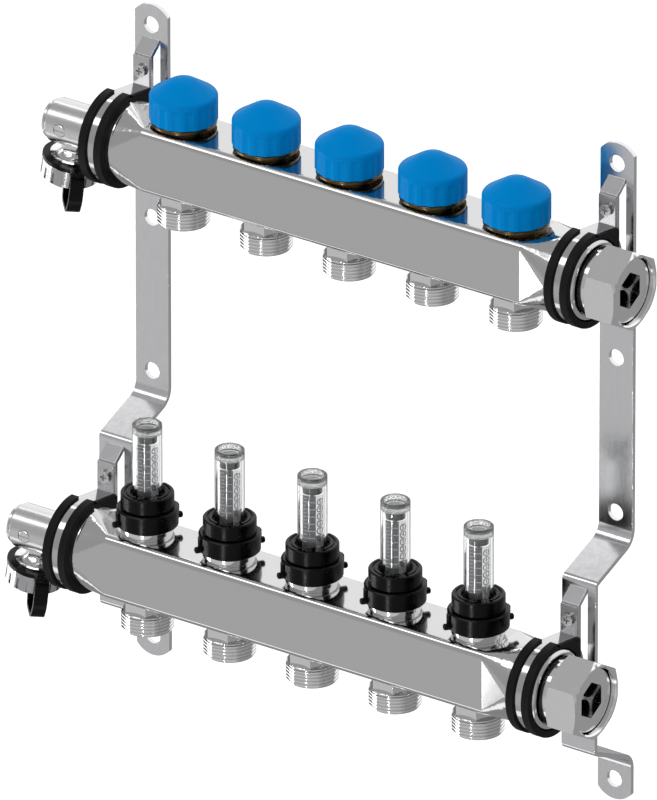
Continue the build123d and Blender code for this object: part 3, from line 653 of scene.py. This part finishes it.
# Solids whose shape is right: a copy with softened edges, and the real finish
dressed = {
    "bars": (("return_bar", "supply_bar"), "steel", "bar_steel", 0.3, (114.0, 130.4)),
    "brackets": (("bracket_left", "bracket_right"), "zinc", "bracket_steel", 0.25),
    # the bands' finish holds painted shade
    "bands": (("clamp_bands",), "bandZinc", "bracket_steel", 0.12),
    "linings": (("clamp_linings",), "rubber", "lining_rubber", 0.2),
    "screws": (("clamp_screws",), "screw", "screw_steel", 0.06),
    "inserts": (("valve_inserts",), "brass", "insert_brass", 0.15),
    "meterBases": (("flow_inserts",), "nickel", "insert_nickel", 0.2),
    "endPieces": (("end_piece_return", "end_piece_supply"), "satinNickel", "fitting_nickel", 0.2),
    "spouts": (("drain_spout_return", "drain_spout_supply"), "nickel", "fitting_nickel", 0.15),
    "drainCaps": (("drain_cap_return", "drain_cap_supply"), "capNickel", "fitting_nickel", 0.2),
    "straps": (("cap_strap_return", "cap_strap_supply"), "black", "strap_rubber", 0.3),
    "vents": (("vent_screw_return", "vent_screw_supply"), "nickel", "fitting_nickel", 0.1),
    "nuts": (("union_nut_return", "union_nut_supply"), "nickel", "fitting_nickel", 0.25),
    "tails": (("union_tail_return", "union_tail_supply"), "nickel", "fitting_nickel", 0.15),
    "caps": ([f"hand_cap_{n}" for n in circuitNumbers], "blue", "blue_plastic", 0.25),
    "rings": ([f"lock_ring_{n}" for n in circuitNumbers], "black", "black_plastic", 0.2),
    "dials": ([f"flow_dial_{n}" for n in circuitNumbers], "black", "black_plastic", 0.2),
    "discs": ([f"flow_indicator_{n}" for n in circuitNumbers], "disc", "indicator_plastic", 0.15),
}
for nodes, finish, slot, bevel, *creases in dressed.values():
    for node in nodes:
        dressNode(node, finish, slot, bevel, creases=creases[0] if creases else ())
for number in circuitNumbers:
    keepNode(f"valve_pin_{number}", "screw")
print("solids dressed")

# Stage: a pale floor below, soft boxes and a pale studio all round
studio = {
    "floorHeight": -0.9, "floorSize": 14.0, "floorColour": "#DCDCDC", "floorGlow": 0.62,
    "floorInMetal": 0.62, "floorBehindInMetal": 0.36, "shadeFrom": -1.3, "shadeTo": -0.3,
    "zenith": 0.48, "backSky": 1.25, "backSkyFrom": 0.3, "backSkyTo": 0.6, "ground": 0.55,
    "horizonFrom": -0.12, "horizonTo": 0.02,
}
# Lamps: place, point aimed at, width, height in metres and power in watts
softBoxes = {
    "keyBox": ((0.0, -1.8, 1.72), (0, -0.04, 0), 1.2, 1.4, 18),
    "leftBox": ((-1.3, -0.05, -0.42), (0, -0.05, -0.1), 1.1, 0.8, 4.6),
    # white edge on upright round pieces, and the fine line on the tubes
    "leftStrip": ((-1.3, -0.8, -0.45), (0, -0.04, 0), 0.14, 0.8, 2.8),
    "frontStrip": ((0.22, -1.5, -0.735), (0, -0.06, -0.04), 0.05, 0.1, 1.8),
    # light on the brackets' slopes
    "overheadStrip": ((-0.6, 0.62, 1.45), (-0.6, -0.04, 0), 3.0, 0.2, 4.2),
    # lines along the upper and the lower front corner of the bars
    "frontBox": ((-1.06, -1.1, 1.45), (-1.06, -0.06, 0.05), 1.2, 0.5, 4.7),
    "lowStrip": ((-0.6, -0.46, -0.86), (-0.6, -0.04, 0), 3.0, 0.3, 3.2),
}
# The photograph's view, at a point to the left of the object's centre and below it: angles in
# degrees, lens and sensor in millimetres, the rest in metres
view = {
    "azimuth": 35.3, "elevation": 25.5, "lens": 1300.0, "sensor": 36, "frameHeight": 0.3928,
    "centre": (0, -0.031, 0.1173), "toLeft": 0.01026, "down": 0.09502,
}


def makeFloor():
    # White to the camera with the object's shadow on it, and grey where metal mirrors it,
    # darker behind the object than in front
    deselectAll()
    bpy.ops.mesh.primitive_plane_add(size=studio["floorSize"],
                                     location=(0, 0, studio["floorHeight"]))
    floor = bpy.context.object
    floor.name = "floor"
    material = bpy.data.materials.new("paleStudioFloor")
    material.use_nodes = True
    tree = material.node_tree
    tree.nodes.clear()
    rays = addNode(tree, "ShaderNodeLightPath")
    matt = addNode(tree, "ShaderNodeBsdfDiffuse", {"Color": linearColour(studio["floorColour"])})
    white = addNode(tree, "ShaderNodeEmission",
                    {"Color": (1, 1, 1, 1), "Strength": studio["floorGlow"]})
    place = addNode(tree, "ShaderNodeTexCoord")
    axes = addNode(tree, "ShaderNodeSeparateXYZ", None, {"Vector": place.outputs["Object"]})
    level = addNode(tree, "ShaderNodeMapRange",
                    {"From Min": studio["shadeFrom"], "From Max": studio["shadeTo"],
                     "To Min": studio["floorInMetal"],
                     "To Max": studio["floorBehindInMetal"]}, {"Value": axes.outputs["Y"]})
    grey = addNode(tree, "ShaderNodeEmission", {"Color": (1, 1, 1, 1)},
                   {"Strength": level.outputs["Result"]})
    seen = addNode(tree, "ShaderNodeAddShader", None,
                   {0: matt.outputs["BSDF"], 1: white.outputs["Emission"]})
    direct = addNode(tree, "ShaderNodeMath", None,
                     {0: rays.outputs["Is Camera Ray"], 1: rays.outputs["Is Transmission Ray"]},
                     operation="MAXIMUM")
    mirrored = addNode(tree, "ShaderNodeMixShader", None,
                       {0: rays.outputs["Is Glossy Ray"], 1: matt.outputs["BSDF"],
                        2: grey.outputs["Emission"]})
    mixed = addNode(tree, "ShaderNodeMixShader", None,
                    {0: direct.outputs["Value"], 1: mirrored.outputs["Shader"],
                     2: seen.outputs["Shader"]})
    addNode(tree, "ShaderNodeOutputMaterial", None, {"Surface": mixed.outputs["Shader"]})
    floor.data.materials.append(material)


def makeWorld():
    # White to the camera and through clear plastic; for light and reflections a pale studio
    # that is brightest behind the object and greyer overhead
    world = bpy.data.worlds.new("studio")
    bpy.context.scene.world = world
    world.use_nodes = True
    tree = world.node_tree
    tree.nodes.clear()
    rays = addNode(tree, "ShaderNodeLightPath")
    place = addNode(tree, "ShaderNodeTexCoord")
    axes = addNode(tree, "ShaderNodeSeparateXYZ", None, {"Vector": place.outputs["Generated"]})
    sky = addNode(tree, "ShaderNodeMapRange",
                  {"From Min": studio["backSkyFrom"], "From Max": studio["backSkyTo"],
                   "To Min": studio["zenith"], "To Max": studio["backSky"]},
                  {"Value": axes.outputs["Y"]}, interpolation_type="SMOOTHSTEP")
    up = addNode(tree, "ShaderNodeMapRange",
                 {"From Min": studio["horizonFrom"], "From Max": studio["horizonTo"]},
                 {"Value": axes.outputs["Z"]}, interpolation_type="SMOOTHSTEP")
    level = addNode(tree, "ShaderNodeMix", {2: studio["ground"]},
                    {0: up.outputs["Result"], 3: sky.outputs["Result"]}, data_type="FLOAT")
    pale = addNode(tree, "ShaderNodeBackground", {"Color": (1, 1, 1, 1)},
                   {"Strength": level.outputs[0]})
    white = addNode(tree, "ShaderNodeBackground", {"Color": (1, 1, 1, 1), "Strength": 1.0})
    through = addNode(tree, "ShaderNodeMath", None,
                      {0: rays.outputs["Is Camera Ray"], 1: rays.outputs["Is Transmission Ray"]},
                      operation="MAXIMUM")
    mixed = addNode(tree, "ShaderNodeMixShader", None,
                    {0: through.outputs["Value"], 1: pale.outputs["Background"],
                     2: white.outputs["Background"]})
    addNode(tree, "ShaderNodeOutputWorld", None, {"Surface": mixed.outputs["Shader"]})


def addSoftBox(name, location, target, width, height, power):
    # A rectangular lamp that shows in reflections and not to the camera
    lamp = bpy.data.lights.new(name, "AREA")
    lamp.shape = "RECTANGLE"
    lamp.size, lamp.size_y = width, height
    lamp.energy = power
    box = bpy.data.objects.new(name, lamp)
    bpy.context.scene.collection.objects.link(box)
    box.location = location
    box.rotation_euler = (Vector(target) - Vector(location)).to_track_quat("-Z", "Y").to_euler()
    box.visible_camera = False


def makeCamera():
    # The photograph's own viewing angle: from the right, a little above, with a very long lens
    v = view
    camera = bpy.data.objects.new("camera", bpy.data.cameras.new("camera"))
    bpy.context.scene.collection.objects.link(camera)
    bpy.context.scene.camera = camera
    camera.data.lens = v["lens"]
    camera.data.sensor_width = v["sensor"]
    azimuth, elevation = math.radians(v["azimuth"]), math.radians(v["elevation"])
    backwards = Vector((math.sin(azimuth) * math.cos(elevation),
                        -math.cos(azimuth) * math.cos(elevation), math.sin(elevation)))
    right = Vector((math.cos(azimuth), math.sin(azimuth), 0))
    upwards = backwards.cross(right)
    aim = Vector(v["centre"]) - right * v["toLeft"] - upwards * v["down"]
    distance = v["frameHeight"] * v["lens"] / v["sensor"]
    camera.location = aim + backwards * distance
    camera.rotation_euler = (-backwards).to_track_quat("-Z", "Y").to_euler()
    camera.data.clip_start, camera.data.clip_end = 0.1, 100


makeFloor()
makeWorld()
for name, settings in softBoxes.items():
    addSoftBox(name, *settings)
makeCamera()
bpy.context.scene.view_settings.view_transform = "Standard"
print("stage set")
